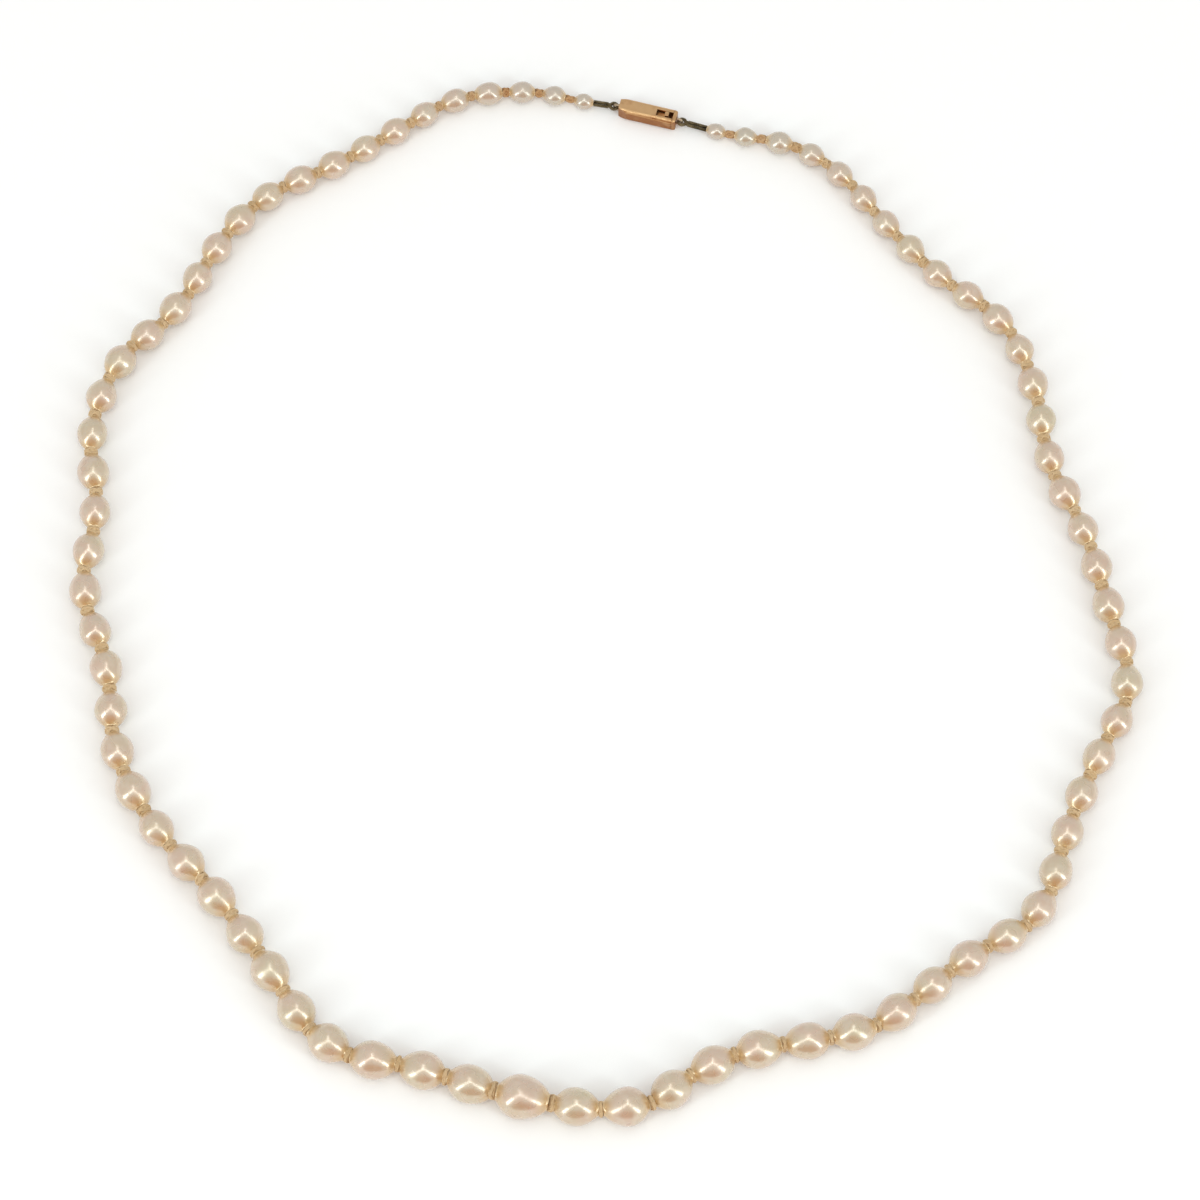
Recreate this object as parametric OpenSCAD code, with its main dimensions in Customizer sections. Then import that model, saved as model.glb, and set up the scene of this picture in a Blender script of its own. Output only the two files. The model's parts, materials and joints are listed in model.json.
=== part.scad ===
// Graduated knotted pearl necklace with a small gold box clasp, clasped and lying on a table.
// +Z is up, the table is z = 0, the clasp is at +Y and the largest pearl at -Y.

/* [Pearls] */
// Number of pearls on each side of the centre pearl, always even
side_pearls = 38; // [36:2:38]
// Diameter of the centre pearl across the strand
centre_pearl_d = 6.0; // [5.4:0.1:6.4]
// Diameter of the pearls beside the centre pearl
front_pearl_d = 5.25; // [5.0:0.05:5.5]
// Diameter of the pearls half-way up the sides
side_pearl_d = 4.35; // [4.1:0.05:4.5]
// Diameter of the pearls at the shoulders
back_pearl_d = 3.9; // [3.6:0.05:4.1]
// Diameter of the third pearl from each end
small_pearl_d = 3.2; // [3.0:0.05:3.4]
// Diameter of the last pearl at each end
end_pearl_d = 2.3; // [2.2:0.05:2.5]
// Length of a pearl along the strand over its diameter
pearl_aspect = 1.12; // [1.06:0.01:1.14]
// How far a pearl's diameter strays from the graduation
size_variation = 0.08; // [0:0.01:0.1]
// Width of the rim round the drill hole over the pearl's diameter
rim_share = 0.05; // [0.03:0.01:0.08]
// Diameter of the drill hole
drill_d = 0.7; // [0.6:0.05:0.75]

/* [Silk] */
// Diameter of the silk thread
thread_d = 0.3; // [0.3:0.01:0.32]
// Room for a knot between two pearls at the front
front_gap = 0.8; // [0.7:0.05:1.0]
// Room for a knot between two pearls at the sides
side_gap = 1.0; // [0.9:0.05:1.2]
// Room for a knot beside the last pearl
end_gap = 1.6; // [1.2:0.05:1.7]
// Diameter of a knot over that of the pearls beside it
knot_share = 0.43; // [0.34:0.01:0.46]
// Free space between a knot and each pearl
knot_play = 0.1; // [0.05:0.01:0.12]

/* [Gimp loops] */
// Outer diameter of the coiled wire that covers the silk at the clasp
gimp_d = 0.5; // [0.48:0.01:0.52]
// Inner diameter of the coiled wire
gimp_bore_d = 0.36; // [0.34:0.01:0.38]
// Distance from the box's eye to the pearl beside it
box_gimp_reach = 3.1; // [2.8:0.1:3.4]
// Distance from the tongue's eye to the pearl beside it
tongue_gimp_reach = 3.8; // [2.8:0.1:4.0]
// Radius of the loop's bend round the eye, to the middle of the wire
gimp_bend_r = 0.5; // [0.49:0.01:0.52]

/* [Clasp] */
// Length from the end cap to the end plate
clasp_length = 8.4; // [8:0.1:9]
// Width across the strand
clasp_width = 2.4; // [2.3:0.1:2.8]
// Height above the table
clasp_height = 2.3; // [2.2:0.1:2.4]
// Radius of the long edges
clasp_edge_r = 0.55; // [0.4:0.05:0.6]
// Length of the tapered nose of the box
nose_length = 1.25; // [1.1:0.05:1.35]
// Width of the nose at its end
nose_width = 1.45; // [1.4:0.05:1.8]
// Length of the tongue's tapered end plate
plate_length = 0.5; // [0.3:0.05:0.6]
// Width of the end plate at its outer end
plate_width = 1.7; // [1.5:0.1:2.2]
// Thickness of the box walls
wall = 0.25; // [0.2:0.01:0.28]
// Length of the slot for the thumb tab
slot_length = 2.4; // [2.0:0.1:2.6]
// Width of the slot for the thumb tab
slot_width = 1.0; // [0.9:0.05:1.1]
// Thickness of the tongue's spring sheet
sheet = 0.25; // [0.2:0.01:0.26]
// Width of the tongue
tongue_width = 1.5; // [1.2:0.1:1.6]
// Angle between the tongue's two leaves
leaf_rise = 7.4; // [6.8:0.1:7.6]
// Diameter of the wire of the two eyes
eye_wire_d = 0.36; // [0.3:0.01:0.38]
// Radius of an eye's bend, to the middle of the wire
eye_r = 0.6; // [0.58:0.01:0.64]

/* [Hidden] */
$fn = 48;
sliver = 0.01;
pearl_count = 2 * side_pearls + 1;
centre = side_pearls;
pairs = side_pearls / 2;

// Middle of the clasp on the table, and the direction from its box to its tongue
clasp_at = [6.4, 73.5];
clasp_turn = -15;

// The strand's way from the box's eye round the front to the tongue's eye
route = [
    [-3, 75.5], [-7.5, 76.5], [-12, 77], [-21.5, 75.5], [-30, 70], [-38.5, 64.5], [-48, 59.5],
    [-54.5, 51.5], [-60, 41], [-67.5, 33.5], [-71, 22], [-69.5, 10.5], [-71, -1.5], [-67, -13],
    [-65.5, -25], [-60, -36], [-51.5, -45.5], [-44, -56], [-36, -67], [-23.5, -70], [-11, -74],
    [2.5, -75.5], [8.5, -73.5], [14, -69], [26.5, -66], [32.5, -65.5], [38, -62.5], [48, -54.5],
    [57.5, -48.5], [61.5, -37], [66, -26.5], [71, -16], [68.5, -4], [66, 7], [61.5, 17.5],
    [60, 29], [56, 39.5], [47.5, 46.5], [40.5, 54.5], [34.5, 62.5], [30, 66.5], [25.5, 68.5],
    [16, 70.5]
];

// Graduation of diameters and knot gaps by how many pearls lie between a place and the centre
graduation = [
    [0, centre_pearl_d], [1, front_pearl_d], [6, front_pearl_d - 0.25], [14, side_pearl_d + 0.05],
    [24, side_pearl_d - 0.1], [side_pearls - 8, back_pearl_d], [side_pearls - 2, small_pearl_d],
    [side_pearls, end_pearl_d]
];
gap_graduation = [
    [0, front_gap], [20, side_gap], [side_pearls - 6, side_gap], [side_pearls, end_gap]
];
// How far the knots pass each place on, by knot number from the box, where they are drawn up
// tighter or looser than the rest
draw_up = [[1, 0], [17, -2], [31, 0.5], [53, -1.5], [pearl_count - 1, 0]];

function two_digits(n) = n < 10 ? str("0", n) : str(n);
function pair_name(side, n) = str(side, "_pearls_", two_digits(n));

// ---- Places of the clasp's parts, along its own axis and above the table
clasp_mid_z = clasp_height / 2;
cap_x = -clasp_length / 2;
plate_x = clasp_length / 2;
plate_gap = 0.05;
mouth_x = plate_x - plate_length - plate_gap;
tube_x = cap_x + nose_length;
eye_leg = 0.25;
eye_x = clasp_length / 2 + eye_leg + eye_r;
cavity_floor_z = wall;
lip_drop = 0.3;
fold_play = 0.08;
catch_play = 0.2;
fold_x = -2.3;
fold_inner_r = 0.17;
fold_outer_r = fold_inner_r + sheet;
fold_z = cavity_floor_z + fold_play + fold_outer_r;
leaf_gap = 0.05;
leaf_end_x = mouth_x - wall - catch_play;
tab_length = 0.6;
tab_width = 0.7;
tab_proud = 0.2;

function on_clasp(x, y) = clasp_at + [
    x * cos(clasp_turn) - y * sin(clasp_turn),
    x * sin(clasp_turn) + y * cos(clasp_turn)
];
left_eye = on_clasp(-eye_x, 0);
right_eye = on_clasp(eye_x, 0);

// ---- The route as one smooth curve, cut into short steps
steps = 10;
stops = concat([left_eye], route, [right_eye]);
last_stop = len(stops) - 1;

function stop(i) =
    i < 0 ? 2 * stops[0] - stops[1] :
    i > last_stop ? 2 * stops[last_stop] - stops[last_stop - 1] :
    stops[i];
function curve(a, b, c, d, t) =
    (2 * b + (c - a) * t + (2 * a - 5 * b + 4 * c - d) * t * t
    + (3 * b - a - 3 * c + d) * t * t * t) / 2;
path = concat(
    [for (i = [0 : last_stop - 1], k = [0 : steps - 1])
        curve(stop(i - 1), stop(i), stop(i + 1), stop(i + 2), k / steps)],
    [stops[last_stop]]
);
path_end = len(path) - 1;
travelled = [for (i = 0, s = 0; i <= path_end;
    s = s + (i < path_end ? norm(path[i + 1] - path[i]) : 0), i = i + 1) s];

function step_at(s, i = 0) = i >= path_end - 1 || travelled[i + 1] >= s ? i : step_at(s, i + 1);
function place(s) =
    let (i = step_at(s), share = (s - travelled[i]) / (travelled[i + 1] - travelled[i]))
    path[i] + share * (path[i + 1] - path[i]);

// ---- Pearls are numbered from the box, and knot j lies between pearls j - 1 and j
function diameter(i) =
    let (n = abs(i - centre), stray = n < 1 || n > side_pearls - 1 ? 0 : size_variation)
    lookup(n, graduation) + stray * sin(137 * i);
function pearl_length(i) = pearl_aspect * diameter(i);
function gap(j) = lookup(abs(j - centre - 0.5), gap_graduation);
function link_length(i) =
    pearl_length(i)
    + (i == 0 ? box_gimp_reach : gap(i) / 2)
    + (i == pearl_count - 1 ? tongue_gimp_reach : gap(i + 1) / 2);
links = [for (i = [0 : pearl_count - 1]) link_length(i)];
reach = [for (i = 0, s = 0; i <= pearl_count; s = s + (i < pearl_count ? links[i] : 0), i = i + 1) s];

// The knots share out what the route is longer or shorter than the pearls, except at the ends
slack = travelled[path_end] - reach[pearl_count];
function joint_travel(j) =
    reach[j] + slack * max(0, min(1, (j - 1) / (pearl_count - 2))) + lookup(j, draw_up);
joints = concat(
    [left_eye],
    [for (j = [1 : pearl_count - 1]) place(joint_travel(j))],
    [right_eye]
);

function unit(v) = v / norm(v);
function heading(i) = unit(joints[i + 1] - joints[i]);
function turn(i) = atan2(heading(i).y, heading(i).x);
function pearl_centre(i) =
    i == 0 ? left_eye + heading(i) * (box_gimp_reach + pearl_length(i) / 2) :
    i == pearl_count - 1 ? right_eye - heading(i) * (tongue_gimp_reach + pearl_length(i) / 2) :
    (joints[i] + joints[i + 1]) / 2;
function knot_height(j) = (diameter(j - 1) + diameter(j)) / 4;
function free_space(j) =
    norm(pearl_centre(j) - pearl_centre(j - 1)) - (pearl_length(j - 1) + pearl_length(j)) / 2;

// ---- Round shapes along the strand

// A ball of radius r with a tapered tip at each end, drilled along X
module drilled_pearl(r, half_length) {
    bore_r = drill_d / 2;
    tip_r = bore_r + 2 * rim_share * r;
    // The tips' sides run just inside the lines that touch the ball
    touch = atan2(tip_r, half_length) + acos(r / norm([tip_r, half_length]));
    foot = 0.99 * r * [sin(touch), cos(touch)];
    rotate([0, 90, 0])
        rotate_extrude()
            intersection() {
                union() {
                    circle(r);
                    polygon([
                        [0, -half_length], [tip_r, -half_length], [foot.x, -foot.y],
                        foot, [tip_r, half_length], [0, half_length]
                    ]);
                }
                translate([bore_r, -half_length])
                    square([r, 2 * half_length]);
            }
}

// A bored barrel: an arc of the given radius turned about X
module barrel(r, arc_r, half_length, bore_r) {
    rotate([0, 90, 0])
        rotate_extrude()
            intersection() {
                translate([r - arc_r, 0])
                    circle(arc_r);
                translate([bore_r, -half_length])
                    square([r, 2 * half_length]);
            }
}

module pearl(i) {
    r = diameter(i) / 2;
    translate([pearl_centre(i).x, pearl_centre(i).y, r])
        rotate([0, 0, turn(i)])
            drilled_pearl(r, pearl_length(i) / 2);
}

module pearl_pair(first, second) {
    color([0.87, 0.79, 0.70]) {
        pearl(first);
        pearl(second);
    }
}

module centre_pearl() {
    color([0.87, 0.79, 0.70])
        pearl(centre);
}

knot_roundness = 0.8;

module knot(j) {
    r = knot_share * (diameter(j - 1) + diameter(j)) / 4;
    half = free_space(j) / 2 - knot_play;
    across = pearl_centre(j) - pearl_centre(j - 1);
    translate([joints[j].x, joints[j].y, knot_height(j)])
        rotate([0, 0, atan2(across.y, across.x)])
            barrel(r, max(half, knot_roundness * r), half, thread_d / 2 + knot_play);
}

module silk_knots() {
    color([0.87, 0.75, 0.55])
        for (j = [1 : pearl_count - 1])
            knot(j);
}

// ---- The silk thread, which doubles back through each gimp loop into the last pearl
tail_offset = thread_d / 2 + 0.005;
leg_offset = gimp_d / 2 + 0.02;
leg_play = 0.15;
mouth_room = 0.1;
// How far the silk's end and its way back reach into the last pearl, as shares of its length
tail_share = 0.8;
return_share = 0.2;
bend_steps = 6;

function along(origin, direction, x, y) =
    origin + direction * x + [-direction.y, direction.x] * y;
function at_height(p, z) = [p.x, p.y, z];
function backwards(list) = [for (i = [len(list) - 1 : -1 : 0]) list[i]];

// Angle by which the loop's two legs lean towards each other
function squeeze(gimp_reach) = atan2(gimp_bend_r - leg_offset, gimp_reach - leg_play);

// One side of the loop, from inside the last pearl to the end of the gimp
function end_leg(gimp_reach, depth, side) = [
    [gimp_reach + depth, side * tail_offset],
    [gimp_reach + mouth_room, side * tail_offset],
    [gimp_reach - leg_play, side * leg_offset]
];
// The loop at an eye, from the tail inside the last pearl to the way back into it
function end_loop(eye, direction, gimp_reach, pearl_l) =
    let (
        lean = squeeze(gimp_reach),
        bend = [for (k = [0 : bend_steps])
            let (a = 90 - lean + k * (180 + 2 * lean) / bend_steps)
            gimp_bend_r * [cos(a), sin(a)]],
        tail = end_leg(gimp_reach, tail_share * pearl_l, 1),
        way_back = backwards(end_leg(gimp_reach, return_share * pearl_l, -1)),
        loop = concat(tail, bend, way_back)
    )
    [for (p = loop) at_height(along(eye, direction, p.x, p.y), clasp_mid_z)];
thread = concat(
    end_loop(left_eye, heading(0), box_gimp_reach, pearl_length(0)),
    [for (j = [1 : pearl_count - 1]) at_height(joints[j], knot_height(j))],
    backwards(end_loop(right_eye, -heading(pearl_count - 1), tongue_gimp_reach,
        pearl_length(pearl_count - 1)))
);
thread_sides = 8;
thread_end = len(thread) - 1;

function thread_heading(i) =
    unit(thread[min(i + 1, thread_end)] - thread[max(i - 1, 0)]);
function thread_ring(i) =
    let (ahead = thread_heading(i), side = unit(cross([0, 0, 1], ahead)), up = cross(ahead, side))
    [for (k = [0 : thread_sides - 1])
        thread[i] + thread_d / 2
            * (side * cos(360 * k / thread_sides) + up * sin(360 * k / thread_sides))];

module silk_thread() {
    color([0.90, 0.82, 0.66])
        polyhedron(
            points = [for (i = [0 : thread_end], p = thread_ring(i)) p],
            faces = concat(
                [[for (k = [thread_sides - 1 : -1 : 0]) k]],
                [for (i = [0 : thread_end - 1], k = [0 : thread_sides - 1])
                    let (
                        a = i * thread_sides + k,
                        b = i * thread_sides + (k + 1) % thread_sides
                    )
                    [a, b, b + thread_sides, a + thread_sides]],
                [[for (k = [0 : thread_sides - 1]) thread_end * thread_sides + k]]
            )
        );
}

// ---- Gimp loops: coiled wire, closed up here as a tube round the silk
module gimp_path(d, lean, leg_length) {
    rotate([0, 0, 90 - lean])
        rotate_extrude(angle = 180 + 2 * lean)
            translate([gimp_bend_r, 0])
                circle(d / 2);
    for (side = [-1, 1])
        rotate([0, 0, -side * lean])
            translate([0, side * gimp_bend_r, 0])
                rotate([0, 90, 0])
                    cylinder(d = d, h = leg_length);
}

module gimp_loop(eye, direction, gimp_reach) {
    lean = squeeze(gimp_reach);
    leg_length = gimp_reach - leg_play;
    translate([eye.x, eye.y, clasp_mid_z])
        rotate([0, 0, atan2(direction.y, direction.x)])
            color([0.42, 0.36, 0.25])
                difference() {
                    gimp_path(gimp_d, lean, leg_length);
                    gimp_path(gimp_bore_d, lean, leg_length);
                    for (side = [-1, 1])
                        rotate([0, 0, -side * lean])
                            translate([leg_length - sliver, side * gimp_bend_r, 0])
                                rotate([0, 90, 0])
                                    cylinder(d = gimp_bore_d, h = 2 * sliver);
                }
}

module left_gimp() {
    gimp_loop(left_eye, heading(0), box_gimp_reach);
}

module right_gimp() {
    gimp_loop(right_eye, -heading(pearl_count - 1), tongue_gimp_reach);
}

// ---- The clasp
module at_clasp() {
    translate([clasp_at.x, clasp_at.y, 0])
        rotate([0, 0, clasp_turn])
            children();
}

// A bar along X with rounded long edges, its lower face at z
module rounded_bar(x, length, width, height, edge_r, z) {
    translate([x, 0, z + height / 2])
        rotate([90, 0, 90])
            linear_extrude(length)
                union() {
                    square([width - 2 * edge_r, height], center = true);
                    square([width, height - 2 * edge_r], center = true);
                    for (sx = [-1, 1], sy = [-1, 1])
                        translate([sx * (width / 2 - edge_r), sy * (height / 2 - edge_r)])
                            circle(edge_r);
                }
}

// The same bar with its sides running in to the given width at its far end
module tapered_bar(x, length, end_width, facing) {
    intersection() {
        rounded_bar(x, length, clasp_width, clasp_height, clasp_edge_r, 0);
        translate([x + length / 2, 0, 0])
            rotate([0, 0, facing])
                linear_extrude(clasp_height)
                    polygon([
                        [-length / 2, -clasp_width / 2], [length / 2, -end_width / 2],
                        [length / 2, end_width / 2], [-length / 2, clasp_width / 2]
                    ]);
    }
}

module clasp_box() {
    inside_width = clasp_width - 2 * wall;
    inside_height = clasp_height - 2 * wall;
    at_clasp()
        color([0.80, 0.62, 0.43])
            difference() {
                rounded_bar(tube_x, mouth_x - tube_x, clasp_width, clasp_height, clasp_edge_r, 0);
                rounded_bar(tube_x - wall, mouth_x - tube_x, inside_width, inside_height,
                    clasp_edge_r - wall, wall);
                translate([mouth_x - 2 * wall, -inside_width / 2, cavity_floor_z])
                    cube([3 * wall, inside_width, inside_height - lip_drop]);
                translate([mouth_x - slot_length, -slot_width / 2, clasp_height - wall - 2 * lip_drop])
                    cube([slot_length + wall, slot_width, wall + 3 * lip_drop]);
            }
}

module box_end_cap() {
    at_clasp()
        color([0.78, 0.60, 0.41])
            tapered_bar(cap_x, nose_length, nose_width, 180);
}

// A wire eye in the upright plane of the axis, bent back into the plate behind it
module eye(facing) {
    rotate([0, 0, facing])
        translate([clasp_length / 2 + eye_leg, 0, clasp_mid_z]) {
            rotate([90, 0, 0])
                rotate([0, 0, -90])
                    rotate_extrude(angle = 180)
                        translate([eye_r, 0])
                            circle(eye_wire_d / 2);
            for (side = [-1, 1])
                translate([-eye_leg, 0, side * eye_r])
                    rotate([0, 90, 0])
                        cylinder(d = eye_wire_d, h = eye_leg);
        }
}

module box_eye() {
    at_clasp()
        color([0.62, 0.52, 0.40])
            eye(180);
}

module tongue_eye() {
    at_clasp()
        color([0.62, 0.52, 0.40])
            eye(0);
}

module tongue_end_plate() {
    at_clasp()
        color([0.80, 0.62, 0.43])
            tapered_bar(plate_x - plate_length, plate_length, plate_width, 0);
}

// The lower leaf with the fold at its inner end
module tongue_lower_leaf() {
    at_clasp()
        color([0.66, 0.47, 0.28])
            union() {
                translate([fold_x, -tongue_width / 2, fold_z - fold_outer_r])
                    cube([plate_x - plate_length - fold_x, tongue_width, sheet]);
                translate([fold_x, 0, fold_z])
                    rotate([90, 0, 0])
                        difference() {
                            cylinder(r = fold_outer_r, h = tongue_width, center = true);
                            cylinder(r = fold_inner_r, h = 2 * tongue_width, center = true);
                            translate([0, -fold_outer_r, -tongue_width])
                                cube([fold_outer_r, 2 * fold_outer_r, 2 * tongue_width]);
                        }
            }
}

// Turns its children about the fold to lie along the upper leaf
module along_leaf() {
    at_clasp()
        translate([fold_x, 0, fold_z])
            rotate([0, -leaf_rise, 0])
                children();
}

leaf_length = (leaf_end_x - fold_x) / cos(leaf_rise);

module tongue_upper_leaf() {
    along_leaf()
        color([0.66, 0.47, 0.28])
            translate([leaf_gap, -tongue_width / 2, fold_inner_r])
                cube([leaf_length - leaf_gap, tongue_width, sheet]);
}

module thumb_tab() {
    tab_height = clasp_height + tab_proud - fold_z - fold_outer_r
        - (leaf_length - tab_length) * sin(leaf_rise);
    along_leaf()
        color([0.86, 0.70, 0.48])
            translate([leaf_length - tab_length, -tab_width / 2, fold_outer_r])
                cube([tab_length, tab_width, tab_height]);
}

// ---- Assembly
centre_pearl();
for (n = [1 : pairs]) {
    pearl_pair(centre - 2 * n + 1, centre - 2 * n);
    pearl_pair(centre + 2 * n - 1, centre + 2 * n);
}
silk_thread();
silk_knots();
left_gimp();
right_gimp();
clasp_box();
box_end_cap();
box_eye();
tongue_lower_leaf();
tongue_end_plate();
tongue_eye();
tongue_upper_leaf();
thumb_tab();
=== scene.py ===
import json
import math

import bpy
import numpy as np
from mathutils import Matrix, Vector


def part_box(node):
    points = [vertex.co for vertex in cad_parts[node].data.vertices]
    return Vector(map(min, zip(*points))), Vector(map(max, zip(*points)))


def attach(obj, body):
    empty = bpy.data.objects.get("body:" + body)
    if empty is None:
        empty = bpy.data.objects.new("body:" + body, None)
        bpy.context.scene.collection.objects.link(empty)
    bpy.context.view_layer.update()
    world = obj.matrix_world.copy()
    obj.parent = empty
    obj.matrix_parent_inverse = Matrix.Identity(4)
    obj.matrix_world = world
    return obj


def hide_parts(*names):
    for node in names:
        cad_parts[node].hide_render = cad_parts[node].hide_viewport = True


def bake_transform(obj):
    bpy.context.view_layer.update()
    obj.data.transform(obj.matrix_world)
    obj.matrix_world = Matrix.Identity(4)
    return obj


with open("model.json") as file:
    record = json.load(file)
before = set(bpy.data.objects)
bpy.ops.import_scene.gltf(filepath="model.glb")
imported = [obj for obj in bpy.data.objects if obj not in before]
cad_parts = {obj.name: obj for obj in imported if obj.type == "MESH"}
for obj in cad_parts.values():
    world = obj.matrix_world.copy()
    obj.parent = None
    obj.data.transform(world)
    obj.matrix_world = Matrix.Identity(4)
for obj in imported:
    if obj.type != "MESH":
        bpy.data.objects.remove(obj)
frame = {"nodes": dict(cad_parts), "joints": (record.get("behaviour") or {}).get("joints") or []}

MM = 0.001
UP = np.array([0.0, 0.0, 1.0])
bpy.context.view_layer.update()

# ---- Camera
CAMERA_ELEVATION = math.radians(66)
CAMERA_DISTANCE = 600 * MM
AIM = Vector((-0.49, -2.23, 0)) * MM
SENSOR = 36.0
LENS = 131.8
NEAR_CLIP = 10 * MM


def add_camera():
    data = bpy.data.cameras.new("camera")
    data.sensor_width = SENSOR
    data.lens = LENS
    data.clip_start = NEAR_CLIP
    camera = bpy.data.objects.new("camera", data)
    back = Vector((0, -math.cos(CAMERA_ELEVATION), math.sin(CAMERA_ELEVATION)))
    camera.location = AIM + back * CAMERA_DISTANCE
    camera.rotation_euler = (-back).to_track_quat("-Z", "Y").to_euler()
    bpy.context.scene.collection.objects.link(camera)
    bpy.context.scene.camera = camera


add_camera()


# ---- Meshes made of rings
def unit(v):
    return v / np.linalg.norm(v)


def rings_to_faces(ring_count, sides, closed):
    """Quads between neighbouring rings; a closed row of rings joins its last ring to its first."""
    faces = []
    for i in range(ring_count if closed else ring_count - 1):
        a, b = i * sides, (i + 1) % ring_count * sides
        for k in range(sides):
            n = (k + 1) % sides
            faces.append((a + k, a + n, b + n, b + k))
    return faces


def ring_uvs(ring_count, sides, closed):
    """(along, around) for every corner of rings_to_faces, without a fold at the seams."""
    uvs = []
    steps = ring_count if closed else ring_count - 1
    for i in range(steps):
        for k in range(sides):
            u0, u1 = k / sides, (k + 1) / sides
            v0, v1 = i / steps, (i + 1) / steps
            uvs += [(v0, u0), (v0, u1), (v1, u1), (v1, u0)]
    return uvs


class Shell:
    """Gathers lofted stretches into one mesh, with a UV map that runs along and around each stretch."""

    def __init__(self):
        self.points, self.faces, self.uvs = [], [], []

    def loft(self, rings, closed=False, capped=True, along=1.0):
        """rings is an array of ring, side, xyz. along scales the UV that runs from ring to ring."""
        rings = np.asarray(rings, float)
        count, sides = rings.shape[:2]
        start = len(self.points)
        self.points += rings.reshape(-1, 3).tolist()
        self.faces += [tuple(start + v for v in f) for f in rings_to_faces(count, sides, closed)]
        self.uvs += [(u * along, v) for u, v in ring_uvs(count, sides, closed)]
        if capped and not closed:
            self.faces.append(tuple(start + k for k in reversed(range(sides))))
            self.faces.append(tuple(start + (count - 1) * sides + k for k in range(sides)))
            self.uvs += [(0.0, 0.0)] * sides + [(along, 0.0)] * sides
        return self

    def piece(self, name, material):
        mesh = bpy.data.meshes.new(name)
        mesh.from_pydata(self.points, [], self.faces)
        mesh.uv_layers.new(name="strand").data.foreach_set("uv", np.array(self.uvs, float).ravel())
        mesh.shade_smooth()
        mesh.materials.append(material)
        mesh.validate()
        made = bpy.data.objects.new(name, mesh)
        bpy.context.scene.collection.objects.link(made)
        return made


def frames_along(path, start_side=None):
    """A side and an up direction at each point of a path, turned as little as possible on the way."""
    path = np.asarray(path, float)
    ahead = np.gradient(path, axis=0)
    ahead /= np.linalg.norm(ahead, axis=1)[:, None]
    side = np.cross(UP, ahead[0]) if start_side is None else np.array(start_side, float)
    if np.linalg.norm(side) < 1e-6:
        side = np.array([1.0, 0.0, 0.0])
    sides = []
    for d in ahead:
        side = unit(side - (side @ d) * d)
        sides.append(side)
    sides = np.array(sides)
    return ahead, sides, np.cross(ahead, sides)


def tube(path, radius, sides=10):
    """Rings of a round tube. radius is one number or one for each point."""
    path = np.asarray(path, float)
    radius = np.broadcast_to(np.asarray(radius, float), (len(path),))
    _, side, up = frames_along(path)
    turn = np.arange(sides) * 2 * math.pi / sides
    spokes = side[:, None] * np.cos(turn)[None, :, None] + up[:, None] * np.sin(turn)[None, :, None]
    return path[:, None] + radius[:, None, None] * spokes


# ---- Places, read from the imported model
def vertices(node):
    mesh = frame["nodes"][node].data
    places = np.empty(len(mesh.vertices) * 3)
    mesh.vertices.foreach_get("co", places)
    return places.reshape(-1, 3)


def halves(points):
    """Parts the vertices of two pearls at the widest gap along the line through both."""
    middle = points.mean(0)
    t = (points - middle) @ np.linalg.svd(points - middle, full_matrices=False)[2][0]
    steps = np.sort(t)
    widest = np.argmax(np.diff(steps))
    cut = (steps[widest] + steps[widest + 1]) / 2
    return [points[t < cut], points[t > cut]]


# A vertex is at a pearl's tip if it is at least this share of the farthest one's distance out
TIP_SLICE = 0.999


class Pearl:
    """Where a CAD pearl is: its middle, the direction of its drill hole, its half length and radius."""

    def __init__(self, body, points, towards):
        self.body = body
        middle = points.mean(0)
        axis = np.linalg.svd(points - middle, full_matrices=False)[2][0]
        if axis @ towards < 0:
            axis = -axis
        t = (points - middle) @ axis
        near = points[t < t.min() * TIP_SLICE].mean(0)
        far = points[t > t.max() * TIP_SLICE].mean(0)
        self.axis = unit(far - near)
        t = (points - middle) @ self.axis
        self.half = (t.max() - t.min()) / 2
        self.middle = middle + self.axis * (t.max() + t.min()) / 2
        away = points - self.middle
        away = away - (away @ self.axis)[:, None] * self.axis
        self.radius = np.linalg.norm(away, axis=1).max()
        self.middle = np.array([self.middle[0], self.middle[1], self.radius])

    @property
    def first_end(self):
        return self.middle - self.axis * self.half

    @property
    def last_end(self):
        return self.middle + self.axis * self.half


hinges = {joint["child"]: np.array(joint["pos_m"], float) for joint in frame["joints"]}
pair_count = sum(name.startswith("left_pearls") for name in frame["nodes"])


def read_strand():
    """All pearls from the box's end to the tongue's end, each with its axis along the strand."""
    left_to_right = hinges["right_01"] - hinges["left_01"]
    middle = Pearl("centre", vertices("centre_pearl"), left_to_right)
    sides = {"left": [], "right": []}
    for side, sign in (("left", -1), ("right", 1)):
        for n in range(1, pair_count + 1):
            body = f"{side}_{n:02d}"
            pair = halves(vertices(f"{side}_pearls_{n:02d}"))
            pair.sort(key=lambda points: np.linalg.norm(points.mean(0)[:2] - hinges[body][:2]))
            outward = pair[1].mean(0) - pair[0].mean(0)
            sides[side] += [Pearl(body, points, sign * outward) for points in pair]
    return sides["left"][::-1] + [middle] + sides["right"]


strand = read_strand()


# ---- Materials
def new_material(name):
    material = bpy.data.materials.new(name)
    material.use_nodes = True
    nodes = material.node_tree.nodes
    return material, nodes, material.node_tree.links, nodes["Principled BSDF"]


def object_place(nodes):
    return nodes.new("ShaderNodeTexCoord").outputs["Object"]


def set_inputs(node, values):
    for name, value in values.items():
        node.inputs[name].default_value = value


def noise(nodes, links, vector, scale, detail=3.0, roughness=0.5):
    texture = nodes.new("ShaderNodeTexNoise")
    set_inputs(texture, {"Scale": scale, "Detail": detail, "Roughness": roughness})
    links.new(vector, texture.inputs["Vector"])
    return texture.outputs["Fac"]


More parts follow.
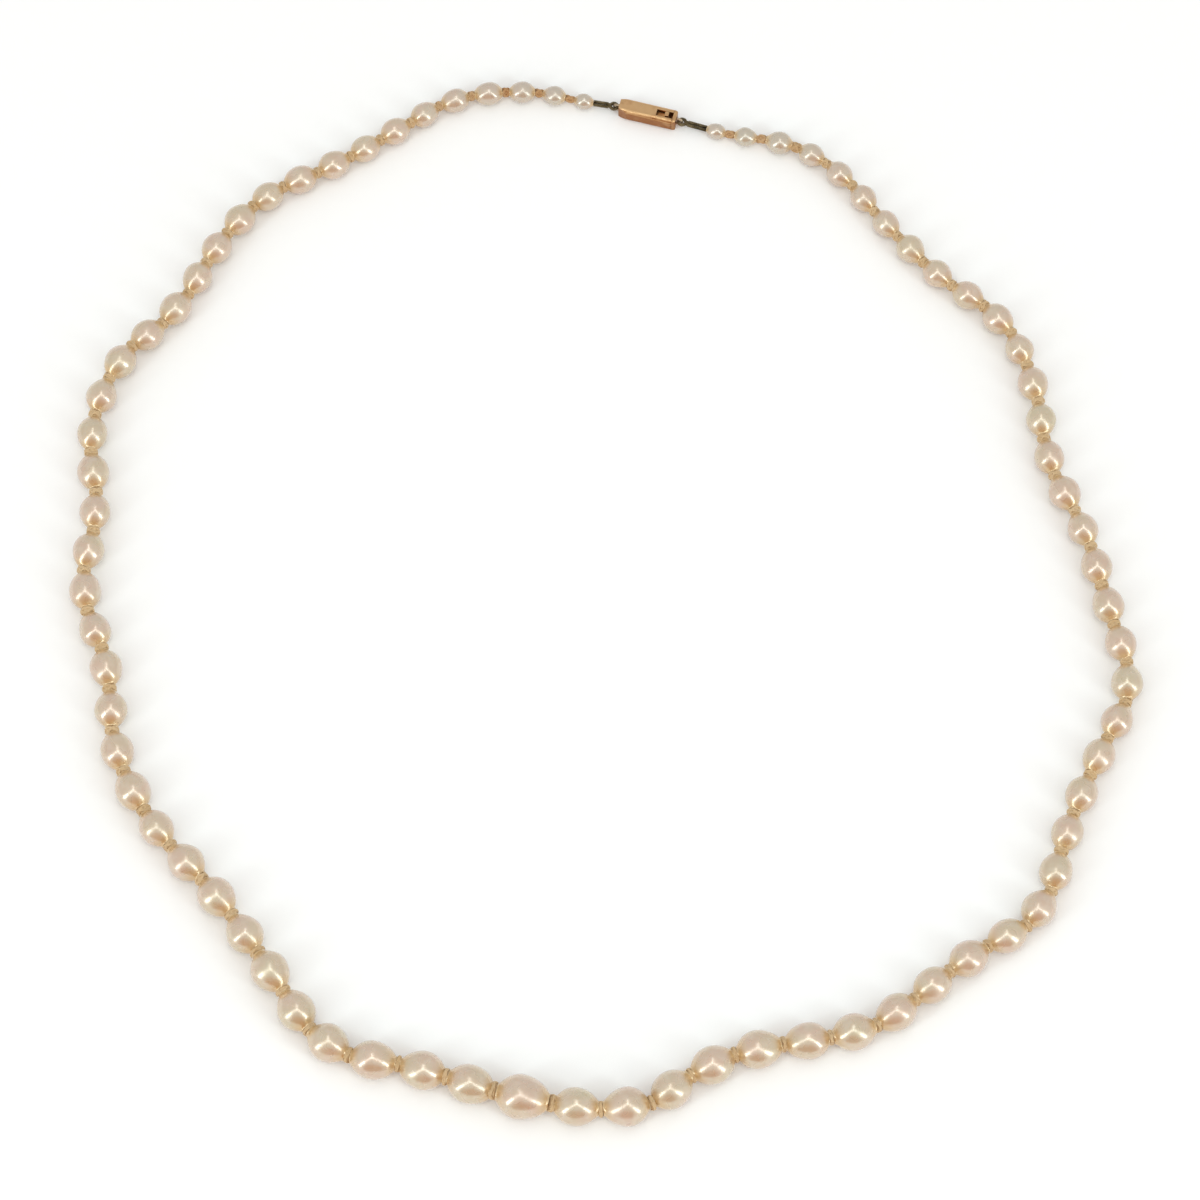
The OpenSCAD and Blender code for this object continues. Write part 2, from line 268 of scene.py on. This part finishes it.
def ramp(nodes, links, value, stops):
    """stops is a list of (position, colour)."""
    blend = nodes.new("ShaderNodeValToRGB")
    elements = blend.color_ramp.elements
    while len(elements) < len(stops):
        elements.new(0.5)
    for element, (position, colour) in zip(elements, stops):
        element.position = position
        element.color = (*colour, 1.0)
    links.new(value, blend.inputs["Fac"])
    return blend.outputs["Color"]


def spread(nodes, links, value, low, high, to_low=0.0, to_high=1.0):
    """Maps low..high of value to to_low..to_high, smoothly, and holds it there outside."""
    mapped = nodes.new("ShaderNodeMapRange")
    mapped.interpolation_type = "SMOOTHSTEP"
    set_inputs(mapped, {"From Min": low, "From Max": high, "To Min": to_low, "To Max": to_high})
    links.new(value, mapped.inputs["Value"])
    return mapped.outputs["Result"]


def mix(nodes, links, share, a, b):
    """Mixes colours a and b, each a colour or another node's output."""
    mixer = nodes.new("ShaderNodeMix")
    mixer.data_type = "RGBA"
    # The node's colour inputs share their names with its number inputs, so all are taken by place
    for value, socket in ((share, mixer.inputs[0]), (a, mixer.inputs[6]), (b, mixer.inputs[7])):
        if isinstance(value, bpy.types.NodeSocket):
            links.new(value, socket)
        elif isinstance(value, tuple):
            socket.default_value = (*value, 1.0)
        else:
            socket.default_value = value
    return mixer.outputs[2]


def calculate(nodes, links, operation, a, b=None):
    operator = nodes.new("ShaderNodeMath")
    operator.operation = operation
    for value, socket in zip((a, b), operator.inputs):
        if isinstance(value, bpy.types.NodeSocket):
            links.new(value, socket)
        elif value is not None:
            socket.default_value = value
    return operator.outputs[0]


def bump(nodes, links, shader, height, distance, strength):
    relief = nodes.new("ShaderNodeBump")
    set_inputs(relief, {"Distance": distance, "Strength": strength})
    links.new(height, relief.inputs["Height"])
    links.new(relief.outputs["Normal"], shader.inputs["Normal"])


def distance_to(nodes, links, vector, point):
    away = nodes.new("ShaderNodeVectorMath")
    away.operation = "DISTANCE"
    links.new(vector, away.inputs[0])
    away.inputs[1].default_value = point
    return away.outputs["Value"]


def strand_uv(nodes, links):
    """The UV map's two numbers: along the stretch, and around it."""
    uv = nodes.new("ShaderNodeUVMap")
    uv.uv_map = "strand"
    split = nodes.new("ShaderNodeSeparateXYZ")
    links.new(uv.outputs["UV"], split.inputs["Vector"])
    return split.outputs["X"], split.outputs["Y"]


NACRE_CLOUDS = [
    (0.30, (0.58, 0.490, 0.335)), (0.46, (0.61, 0.480, 0.345)),
    (0.58, (0.62, 0.455, 0.345)), (0.72, (0.59, 0.485, 0.360)),
]
NACRE_MOTTLE = (0.72, 0.62, 0.50)
NACRE_NEAR_CLASP = (0.51, 0.465, 0.40)
# Painted shade and painted reflection of the silk: golden-brown towards each drilled end, by the necks
NACRE_NECK_SHADE = (0.62, 0.42, 0.20)
# The two distances from the clasp between which the grey of the end pearls fades
END_PEARLS = (12 * MM, 40 * MM)
# Thickness range of the film that makes the lustre cooler than the body colour, in nanometres
LUSTRE_FILM = (145.0, 190.0)


def nacre_material():
    """Cream nacre: rosy and greenish clouds, painted golden-brown shade and silk reflection towards the
    drilled ends, greyer on the small end pearls.
    """
    material, nodes, links, shader = new_material("nacre")
    place = object_place(nodes)
    along, _ = strand_uv(nodes, links)
    clouds = noise(nodes, links, place, 170, detail=2.0)
    body = ramp(nodes, links, clouds, NACRE_CLOUDS)
    mottle = noise(nodes, links, place, 900, detail=4.0, roughness=0.6)
    body = mix(nodes, links, spread(nodes, links, mottle, 0.35, 0.75, 0.0, 0.4), body, NACRE_MOTTLE)
    near = spread(nodes, links, distance_to(nodes, links, place, CLASP_PLACE), *END_PEARLS, 0.6, 0.0)
    body = mix(nodes, links, near, body, NACRE_NEAR_CLASP)
    # Painted shade and painted reflection of the silk: the golden-brown share grows towards each drilled
    # end, by the necks
    ends = calculate(nodes, links, "ABSOLUTE", calculate(nodes, links, "SUBTRACT", along, 0.5))
    body = mix(nodes, links, spread(nodes, links, ends, 0.14, 0.38, 0.0, 0.9), body, NACRE_NECK_SHADE)
    links.new(body, shader.inputs["Base Color"])
    lustre = noise(nodes, links, place, 420, detail=2.0)
    links.new(spread(nodes, links, lustre, 0.3, 0.7, 0.23, 0.32), shader.inputs["Roughness"])
    links.new(spread(nodes, links, clouds, 0.35, 0.65, *LUSTRE_FILM), shader.inputs["Thin Film Thickness"])
    skin = noise(nodes, links, place, 2600, detail=5.0, roughness=0.65)
    bump(nodes, links, shader, skin, 0.005 * MM, 0.3)
    set_inputs(shader, {
        "IOR": 1.45,
        "Metallic": 0.40,
        "Thin Film IOR": 1.38,
        "Subsurface Weight": 0.15,
        "Subsurface Radius": (1.0, 0.62, 0.38),
        "Subsurface Scale": 0.7 * MM,
        "Coat Weight": 0.9,
        "Coat Roughness": 0.17,
        "Coat IOR": 1.62,
    })
    return material


SILK_COLOURS = [(0.30, (0.66, 0.48, 0.28)), (0.55, (0.62, 0.43, 0.23)), (0.75, (0.57, 0.38, 0.18))]
SILK_STAIN = (0.40, 0.18, 0.055)
# Painted shade in the grooves between the twisted plies
SILK_GROOVE_SHADE = (0.46, 0.31, 0.15)
# The two distances from the box's eye between which the stain fades
STAINED_SILK = (10 * MM, 34 * MM)
# How many plies' turns the twist makes in one way round the cord
PLIES = 3.0


def silk_material():
    """Aged cream silk: twisted plies with painted shade in the grooves between them, soiled in patches,
    stained brown towards the clasp's box.
    """
    material, nodes, links, shader = new_material("silk")
    place = object_place(nodes)
    along, around = strand_uv(nodes, links)
    colour = ramp(nodes, links, noise(nodes, links, place, 120, detail=3.0), SILK_COLOURS)
    near = spread(nodes, links, distance_to(nodes, links, place, CLASP_BOX_END), *STAINED_SILK, 1.0, 0.0)
    patches = spread(nodes, links, noise(nodes, links, place, 210, detail=1.0), 0.42, 0.56)
    stain = calculate(nodes, links, "MULTIPLY", near, calculate(nodes, links, "MAXIMUM", patches, 0.7))
    colour = mix(nodes, links, stain, colour, SILK_STAIN)
    turned = calculate(nodes, links, "ADD", along, calculate(nodes, links, "MULTIPLY", around, PLIES))
    twist = calculate(nodes, links, "SINE", calculate(nodes, links, "MULTIPLY", turned, 2 * math.pi))
    # Painted shade: darker in the grooves between the plies, where the twist's sine is low
    groove_shade = spread(nodes, links, twist, -1.0, -0.2, 0.25, 0.0)
    links.new(mix(nodes, links, groove_shade, colour, SILK_GROOVE_SHADE), shader.inputs["Base Color"])
    fibres = noise(nodes, links, place, 6000, detail=3.0)
    bump(nodes, links, shader, calculate(nodes, links, "ADD", twist, fibres), 0.045 * MM, 0.8)
    set_inputs(shader, {"Roughness": 0.72, "Sheen Weight": 0.15, "Sheen Roughness": 0.4})
    return material


def metal_material(
    name, bright, dark, grime_and_side_shade, wear_scale, roughness, grime_share, metallic=1.0, upright_shade_share=0.0,
):
    """Worn metal: its colour drifts between bright and dark, with grime in patches and fine scratches.

    The last argument is the share of painted shade, laid in the grime colour on upright faces."""
    material, nodes, links, shader = new_material(name)
    place = object_place(nodes)
    drift = noise(nodes, links, place, wear_scale, detail=4.0, roughness=0.6)
    colour = ramp(nodes, links, drift, [(0.35, dark), (0.65, bright)])
    patches = spread(nodes, links, noise(nodes, links, place, wear_scale * 1.7, detail=5.0), 0.50, 0.70)
    patches = calculate(nodes, links, "MULTIPLY", patches, grime_share)
    colour = mix(nodes, links, patches, colour, grime_and_side_shade)
    # Painted shade: faces that stand upright, whose normal points little upwards, are darkened towards the
    # grime colour, broken up by a noise
    facing = nodes.new("ShaderNodeSeparateXYZ")
    links.new(nodes.new("ShaderNodeTexCoord").outputs["Normal"], facing.inputs["Vector"])
    sides = spread(nodes, links, facing.outputs["Z"], 0.15, 0.50, upright_shade_share, 0.0)
    shade_streaks = noise(nodes, links, place, wear_scale * 2.3, detail=3.0)
    sides = calculate(nodes, links, "MULTIPLY", sides, spread(nodes, links, shade_streaks, 0.32, 0.50, 0.55, 1.0))
    links.new(mix(nodes, links, sides, colour, grime_and_side_shade), shader.inputs["Base Color"])
    polish = noise(nodes, links, place, wear_scale * 3, detail=5.0)
    rough = spread(nodes, links, polish, 0.3, 0.7, roughness - 0.08, roughness + 0.12)
    links.new(rough, shader.inputs["Roughness"])
    scratches = nodes.new("ShaderNodeTexWave")
    set_inputs(scratches, {"Scale": 900, "Distortion": 18, "Detail": 4})
    links.new(place, scratches.inputs["Vector"])
    bump(nodes, links, shader, scratches.outputs["Fac"], 0.008 * MM, 0.5)
    shader.inputs["Metallic"].default_value = metallic
    return material


# ---- Places at the clasp
CLASP_PLACE = tuple((hinges["box"] + hinges["tongue"]) / 2)
CLASP_BOX_END = tuple(hinges["box"])
CLASP_MID_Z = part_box("clasp_box")[1].z / 2

nacre = nacre_material()
silk = silk_material()
# Rose gold's grime colour is also the brown-orange painted shade on its upright faces
rose_gold = metal_material(
    "rose_gold", bright=(0.64, 0.41, 0.21), dark=(0.58, 0.355, 0.17), grime_and_side_shade=(0.33, 0.125, 0.04),
    wear_scale=330, roughness=0.34, grime_share=0.35, upright_shade_share=0.9,
)
spring_gold = metal_material(
    "spring_gold", bright=(0.60, 0.32, 0.13), dark=(0.48, 0.23, 0.085), grime_and_side_shade=(0.25, 0.11, 0.04),
    wear_scale=330, roughness=0.35, grime_share=0.5,
)
worn_gold = metal_material(
    "worn_gold", bright=(0.56, 0.46, 0.34), dark=(0.40, 0.31, 0.21), grime_and_side_shade=(0.20, 0.15, 0.09),
    wear_scale=500, roughness=0.36, grime_share=0.6,
)
gimp_metal = metal_material(
    "gimp", bright=(0.26, 0.20, 0.11), dark=(0.10, 0.075, 0.035), grime_and_side_shade=(0.035, 0.027, 0.014),
    wear_scale=700, roughness=0.42, grime_share=0.8, metallic=0.85,
)


# ---- Pearls
PEARL_SEED = 1000
PEARL_SIDES = 56
PEARL_RINGS = 44
HOLE_RADIUS = 0.34 * MM
RIM = 0.05 * MM
# How far each drilled tip reaches past the CAD pearl's
TIP_GROWTH = 0.10 * MM
# A neck's radius over the pearl's, how sharply it sets off from the swell, and the share of the room inside
# a bend that it may fill
NECK_SHARE = 0.38
NECK_FIRMNESS = 4.0
NECK_CLEARANCE = 0.85
# Power of a pearl's swell: one half gives an ellipse, more tapers the ends
PEARL_TAPER = 0.58
# How far single pearls stray: in taper, in swelling towards one end, and in the height of their lumps
TAPER_SPREAD = (0.88, 1.12)
EGG_SPREAD = (-0.10, 0.10)
LUMP_HEIGHTS = (0.003, 0.012)
# A smaller bend than this, in radians, counts as this much
LEAST_BEND = 0.01


def pearl_profile(t, taper, neck):
    """Share of a pearl's radius at t from -1 to 1: a swell that runs out into a narrow neck at each end."""
    swell = np.clip(1 - t * t, 0, 1) ** taper
    firm_neck = neck ** NECK_FIRMNESS
    return ((swell ** NECK_FIRMNESS + firm_neck) / (1 + firm_neck)) ** (1 / NECK_FIRMNESS)


def neck_share(pearl, end, neighbour, neighbour_end):
    """The neck's share of the radius at one end: less where a sharp bend would press it on the neighbour."""
    gap = np.linalg.norm(neighbour_end - end) - 2 * TIP_GROWTH
    bend = max(math.acos(min(pearl.axis @ neighbour.axis, 1)), LEAST_BEND)
    clear = NECK_CLEARANCE * gap / 2 / math.tan(bend / 2)
    return max(min(NECK_SHARE, clear / pearl.radius), (HOLE_RADIUS + RIM) / pearl.radius)


def pearl_rings(pearl, index):
    """Rings of one drilled pearl: uneven, tapered to a neck at each end, with the hole through it."""
    rng = np.random.default_rng(PEARL_SEED + index)
    taper = PEARL_TAPER * rng.uniform(*TAPER_SPREAD)
    egg = rng.uniform(*EGG_SPREAD)
    waves = rng.uniform(0, 2 * math.pi, 4)
    lumps = rng.uniform(*LUMP_HEIGHTS, 4)
    r, half = pearl.radius, pearl.half + TIP_GROWTH
    before, after = strand[max(index - 1, 0)], strand[min(index + 1, len(strand) - 1)]
    t = -np.cos(np.linspace(0, math.pi, PEARL_RINGS))
    neck = np.where(
        t < 0,
        neck_share(pearl, pearl.first_end, before, before.last_end),
        neck_share(pearl, pearl.last_end, after, after.first_end),
    )
    profile = r * pearl_profile(t, taper, neck)
    turn = np.arange(PEARL_SIDES) * 2 * math.pi / PEARL_SIDES
    uneven = (
        -lumps[0] - lumps[1] - lumps[2]
        + lumps[0] * np.sin(2 * turn[None, :] + waves[0] + 1.5 * t[:, None])
        + lumps[1] * np.sin(3 * turn[None, :] + waves[1] - 2.0 * t[:, None])
        + lumps[2] * np.sin(4.0 * t[:, None] + waves[2])
    )
    shift = egg * (1 - t * t) * t
    outer_r = profile[:, None] * (1 + uneven * (1 - t[:, None] ** 2) + shift[:, None])
    outer_r = np.minimum(outer_r, r)
    outer = [(half * t[i], outer_r[i]) for i in range(PEARL_RINGS)]
    round_hole = np.full(PEARL_SIDES, HOLE_RADIUS)
    hole = [
        (half - 0.3 * RIM, round_hole * 0.98), (half - 2 * RIM, round_hole * 0.9), (0.0, round_hole * 0.88),
        (-half + 2 * RIM, round_hole * 0.9), (-half + 0.3 * RIM, round_hole * 0.98),
    ]
    side = unit(np.cross(UP, pearl.axis))
    up = np.cross(pearl.axis, side)
    spokes = side * np.cos(turn)[:, None] + up * np.sin(turn)[:, None]
    return np.array([
        pearl.middle + along * pearl.axis + radii[:, None] * spokes for along, radii in outer + hole
    ])


def add_pearls():
    bodies = {}
    for index, pearl in enumerate(strand):
        shell = bodies.setdefault(pearl.body, Shell())
        rings = pearl_rings(pearl, index)
        shell.loft(rings, closed=True, along=len(rings) / (PEARL_RINGS - 1))
    for body, shell in bodies.items():
        node = "centre_pearl" if body == "centre" else body.replace("_", "_pearls_")
        made = shell.piece(f"{node}.nacre", nacre)
        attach(made, body)
        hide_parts(node)


add_pearls()


# ---- Silk
KNOT_SEED = 5000
KNOT_STEPS = 84
THREAD_RADIUS = 0.15 * MM
# A knot's radius over that of the pearls beside it, and the radius of the cord that it is tied in
KNOT_SHARE = 0.44
KNOT_CORD = 0.21 * MM
# The most that the cord's radius may take of the gap between the pearls
CORD_SHARE = 0.30
# How much of the hollow behind a pearl's tip the knot fills
KNOT_REACH = 0.85
# Length of one turn of the twisted plies
PLY_PITCH = 0.9 * MM


def recess(pearl, radius):
    """How far behind its tip a pearl's surface lies at this distance from the drill hole's axis."""
    t = np.linspace(1, 0, 60)
    share = pearl_profile(t, PEARL_TAPER, NECK_SHARE)
    return pearl.half * (1 - np.interp(radius / pearl.radius, share, t))


def knot_rings(a, b, index):
    """A tight knot that fills the hollow between two pearls: a cord that crosses itself, and its core."""
    rng = np.random.default_rng(KNOT_SEED + index)
    start, end = a.last_end, b.first_end
    axis = unit(end - start)
    length = np.linalg.norm(end - start)
    middle = (start + end) / 2
    radius = KNOT_SHARE * (a.radius + b.radius) / 2 * rng.uniform(0.95, 1.05)
    cord = min(CORD_SHARE * length, KNOT_CORD)
    side = unit(np.cross(UP, axis))
    up = np.cross(axis, side)
    phase = rng.uniform(0, 2 * math.pi)
    turn = np.linspace(0, 4 * math.pi, KNOT_STEPS, endpoint=False)
    sway = np.cos(1.5 * turn)
    barrel = (radius - cord) * (1 - 0.05 * np.cos(3 * turn) - 0.16 * sway ** 2)
    room = np.where(sway < 0, recess(a, barrel), recess(b, barrel))
    x = (length / 2 + KNOT_REACH * room - cord) * sway
    path = (
        middle + x[:, None] * axis
        + (barrel * np.cos(turn + phase))[:, None] * side + (barrel * np.sin(turn + phase))[:, None] * up
    )
    core_t = np.linspace(-1, 1, 9)
    inner = (radius - 1.1 * cord) * np.sqrt(1 - 0.35 * core_t ** 2)
    core_room = np.where(core_t < 0, recess(a, inner), recess(b, inner))
    core_path = middle + (core_t * (length / 2 + KNOT_REACH * core_room))[:, None] * axis
    return path, cord, core_path, inner


def closed_tube(path, radius, sides):
    """Rings of a round tube along a path whose last point joins its first."""
    ahead = np.roll(path, -1, axis=0) - np.roll(path, 1, axis=0)
    ahead /= np.linalg.norm(ahead, axis=1)[:, None]
    outward = path - path.mean(0)
    outward -= (outward * ahead).sum(1)[:, None] * ahead
    outward /= np.linalg.norm(outward, axis=1)[:, None]
    across = np.cross(ahead, outward)
    turn = np.arange(sides) * 2 * math.pi / sides
    return path[:, None] + radius * (
        outward[:, None] * np.cos(turn)[None, :, None] + across[:, None] * np.sin(turn)[None, :, None])


def add_knots():
    for index in range(1, len(strand)):
        a, b = strand[index - 1], strand[index]
        path, cord, core_path, core_r = knot_rings(a, b, index)
        shell = Shell()
        turns = np.linalg.norm(np.diff(path, axis=0), axis=1).sum() / PLY_PITCH
        shell.loft(closed_tube(path, cord, 10), closed=True, along=round(turns))
        shell.loft(tube(core_path, core_r, 14), along=2.0)
        thread = np.array([a.middle, a.last_end, core_path[4], b.first_end, b.middle])
        shell.loft(tube(thread, THREAD_RADIUS, 8), along=np.linalg.norm(a.middle - b.middle) / PLY_PITCH)
        made = shell.piece(f"silk_knot_{index:02d}", silk)
        if a.body == b.body:
            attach(made, a.body)
        else:
            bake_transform(made)
        if index == 1:
            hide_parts("silk_knots", "silk_thread")


add_knots()


# ---- Gimp: fine wire coiled over the silk where it passes through the clasp's eyes
# Radius of the wire, of the coil to the wire's middle, and of the loop round the eye
GIMP_WIRE = 0.055 * MM
GIMP_COIL = 0.195 * MM
GIMP_BEND = 0.5 * MM
# Degrees that the loop turns to each side of the eye's far end
GIMP_WRAP = 125
# Where the two legs come together, from the eye, and the length over which they line up
LEGS_MEET = 0.9 * MM
LEGS_SETTLE = 0.3 * MM
LEG_END_PLAY = 0.15 * MM
# How far the legs stand off from each other where they meet, over the rest
LEG_BULGE = 1.03
# Distance from turn to turn over the wire's width, and points in each turn
TURN_SPACING = 1.04
GIMP_STEPS = 12


def gimp_centreline(eye, pearl_end, count):
    """Out along one leg, round the eye and back beside the first leg, level with the clasp's middle."""
    eye = np.array([eye[0], eye[1], CLASP_MID_Z])
    ahead = pearl_end - eye
    ahead[2] = 0
    leg = np.linalg.norm(ahead) - LEG_END_PLAY
    ahead = unit(ahead)
    side = np.cross(UP, ahead)
    offset = GIMP_COIL + GIMP_WIRE
    points = [(leg, offset), (LEGS_MEET + LEGS_SETTLE, offset), (LEGS_MEET, offset * LEG_BULGE)]
    for angle in np.linspace(-GIMP_WRAP, GIMP_WRAP, 19):
        a = math.radians(180 + angle)
        points.append((GIMP_BEND * math.cos(a), -GIMP_BEND * math.sin(a)))
    points += [(LEGS_MEET, -offset * LEG_BULGE), (LEGS_MEET + LEGS_SETTLE, -offset), (leg, -offset)]
    points = np.array([eye + x * ahead + y * side for x, y in points])
    travelled = np.concatenate([[0], np.cumsum(np.linalg.norm(np.diff(points, axis=0), axis=1))])
    s = np.linspace(0, travelled[-1], count)
    return np.stack([np.interp(s, travelled, points[:, k]) for k in range(3)], axis=1), travelled[-1]


def add_gimp(side_name, eye, pearl_end):
    _, total = gimp_centreline(eye, pearl_end, 2)
    turns = int(total / (2 * GIMP_WIRE * TURN_SPACING))
    centre, _ = gimp_centreline(eye, pearl_end, turns * GIMP_STEPS + 1)
    _, side, up = frames_along(centre)
    turn = np.arange(len(centre)) * 2 * math.pi / GIMP_STEPS
    path = centre + GIMP_COIL * (np.cos(turn)[:, None] * side + np.sin(turn)[:, None] * up)
    shell = Shell()
    shell.loft(tube(path, GIMP_WIRE, 6), along=turns)
    shell.loft(tube(centre[::GIMP_STEPS], GIMP_COIL - 0.3 * GIMP_WIRE, 8))
    made = shell.piece(f"{side_name}_gimp.coil", gimp_metal)
    body = f"{side_name}_{pair_count:02d}"
    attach(made, body)
    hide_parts(f"{side_name}_gimp")


add_gimp("left", hinges["box"], strand[0].first_end)
add_gimp("right", hinges["tongue"], strand[-1].last_end)


# ---- Clasp
SHARP_EDGE = 0.05 * MM
EDGE_SEGMENTS = 4
# Corners flatter than the first angle are smoothed away, and those sharper than the second are rounded off
FLAT_ANGLE = math.radians(1.5)
EDGE_ANGLE = math.radians(30)
SAME_PLACE = 0.001 * MM
# Each part's material and how far its edges are rounded off
CLASP_FINISHES = {
    "clasp_box": (rose_gold, SHARP_EDGE),
    "box_end_cap": (rose_gold, 0.2 * MM),
    "box_eye": (worn_gold, SHARP_EDGE),
    "tongue_eye": (worn_gold, SHARP_EDGE),
    "tongue_end_plate": (rose_gold, 0.15 * MM),
    "tongue_lower_leaf": (spring_gold, SHARP_EDGE),
    "tongue_upper_leaf": (spring_gold, SHARP_EDGE),
    "thumb_tab": (rose_gold, 0.09 * MM),
}


def finish_clasp_nodes():
    for node, (material, edge_width) in CLASP_FINISHES.items():
        part = frame["nodes"][node]
        part.data.materials.clear()
        part.data.materials.append(material)
        weld = part.modifiers.new("weld", "WELD")
        weld.merge_threshold = SAME_PLACE
        flat = part.modifiers.new("flat", "DECIMATE")
        flat.decimate_type = "DISSOLVE"
        flat.angle_limit = FLAT_ANGLE
        worn = part.modifiers.new("worn_edges", "BEVEL")
        worn.width = edge_width
        worn.segments = EDGE_SEGMENTS
        worn.limit_method = "ANGLE"
        worn.angle_limit = EDGE_ANGLE
        worn.harden_normals = True


finish_clasp_nodes()


# ---- Floor and light
FLOOR_REACH = 3.0
FLOOR_DROP = 0.01 * MM
PAPER = ((0.955, 0.955, 0.95), (0.975, 0.975, 0.97))


def add_floor():
    mesh = bpy.data.meshes.new("floor")
    corners = [(FLOOR_REACH * x, FLOOR_REACH * y, 0) for x, y in ((-1, -1), (1, -1), (1, 1), (-1, 1))]
    mesh.from_pydata(corners, [], [(0, 1, 2, 3)])
    floor = bpy.data.objects.new("floor", mesh)
    floor.location.z = -FLOOR_DROP
    bpy.context.scene.collection.objects.link(floor)
    material, nodes, links, shader = new_material("paper")
    grain = noise(nodes, links, object_place(nodes), 700, detail=4.0)
    links.new(mix(nodes, links, grain, *PAPER), shader.inputs["Base Color"])
    set_inputs(shader, {"Roughness": 0.9, "Specular IOR Level": 0.1})
    mesh.materials.append(material)


def add_strip(name, start, end, width, radiance, tint):
    """A long soft light from start to end, facing the necklace."""
    start, end = Vector(start), Vector(end)
    middle = (start + end) / 2
    data = bpy.data.lights.new(name, "AREA")
    data.shape = "RECTANGLE"
    data.size = width
    data.size_y = (end - start).length
    data.energy = radiance * math.pi * data.size * data.size_y
    data.color = tint
    light = bpy.data.objects.new(name, data)
    back = middle.normalized()
    along = (end - start).normalized()
    along = (along - along.dot(back) * back).normalized()
    across = along.cross(back)
    light.matrix_world = Matrix.Translation(middle) @ Matrix((across, along, back)).transposed().to_4x4()
    light.visible_camera = False
    bpy.context.scene.collection.objects.link(light)


# Places in metres from the necklace: the upper strip's ends, and the lower end of the side strips (mirrored
# in X), which start where the upper one stops
TOP_END = Vector((0, 0.30, 0.955))
FORK = Vector((0, -0.16, 0.987))
LOW_END = (0.84, -0.54, 0.01)
UPPER_STRIP = {"width": 0.15, "radiance": 2.4, "tint": (0.90, 0.98, 1.0)}
INNER_STRIP = {"width": 0.14, "radiance": 2.8, "tint": (0.88, 0.98, 1.0)}
OUTER_STRIP = {"width": 0.15, "radiance": 6.4, "tint": (0.85, 0.98, 1.0)}
# The room is pale all round, but for a warm, dimmer part low at the front
ROOM_COLOUR = (1.0, 0.99, 0.975)
ROOM_STRENGTH = 0.77
WARM_COLOUR = (0.62, 0.22, 0.02)
WARM_DIRECTION = (0, -0.976, 0.217)
# Cosines of the angles from that direction between which the warm part fades in
WARM_EDGE = (0.70, 0.93)


def add_light():
    world = bpy.data.worlds.new("world")
    bpy.context.scene.world = world
    world.use_nodes = True
    nodes, links = world.node_tree.nodes, world.node_tree.links
    background = nodes["Background"]
    facing = nodes.new("ShaderNodeVectorMath")
    facing.operation = "DOT_PRODUCT"
    links.new(nodes.new("ShaderNodeTexCoord").outputs["Generated"], facing.inputs[0])
    facing.inputs[1].default_value = WARM_DIRECTION
    warm = spread(nodes, links, facing.outputs["Value"], *WARM_EDGE)
    links.new(mix(nodes, links, warm, ROOM_COLOUR, WARM_COLOUR), background.inputs["Color"])
    background.inputs["Strength"].default_value = ROOM_STRENGTH
    add_strip("upper_strip", TOP_END, FORK, **UPPER_STRIP)
    for side in (-1, 1):
        low = Vector((side * LOW_END[0], LOW_END[1], LOW_END[2]))
        bend = ((FORK + low) / 2).normalized()
        add_strip(f"inner_strip_{side}", FORK, bend, **INNER_STRIP)
        add_strip(f"outer_strip_{side}", bend, low, **OUTER_STRIP)
    bpy.context.scene.view_settings.view_transform = "Standard"


add_floor()
add_light()
